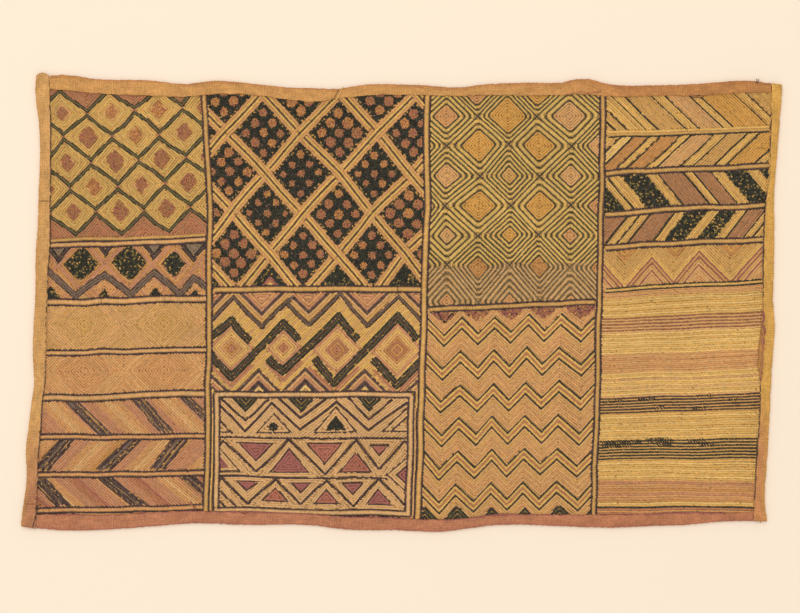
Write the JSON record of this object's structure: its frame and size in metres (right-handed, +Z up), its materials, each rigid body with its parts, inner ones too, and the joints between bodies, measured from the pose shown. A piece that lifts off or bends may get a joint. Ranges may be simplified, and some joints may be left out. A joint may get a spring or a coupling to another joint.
{
  "type": "embroidered raffia cloth panel",
  "caption": "Flat rectangular raffia cloth with an uneven outline: an embroidered and cut-pile ground panel whose raw edges are bound by folded plain-weave strips.",
  "frame": {"origin": "middle of the cloth's outline, on the surface that it lies on", "axes": "+X along the length to the right of the embroidered face, +Y across it to the top edge, +Z up out of the embroidered face"},
  "size_m": [0.7624, 0.4596, 0.0036],
  "materials": {
    "embroidered_ground": "raffia plain weave with golden, rust and black raffia stitching and short cut pile",
    "border_tan": "orange-tan plain raffia weave, ribbed along the strip",
    "border_orange": "orange plain raffia weave with a redder rolled edge",
    "border_gold": "golden plain raffia weave that turns redder at its lower end",
    "border_red": "red-brown plain raffia weave"
  },
  "bodies": {
    "root": {"ground_panel": "embroidered_ground", "border_left_lower": "border_tan", "border_left_upper": "border_tan", "border_top_left": "border_orange", "border_top_right": "border_orange", "border_right": "border_gold", "border_bottom": "border_red"}
  },
  "joints": []
}
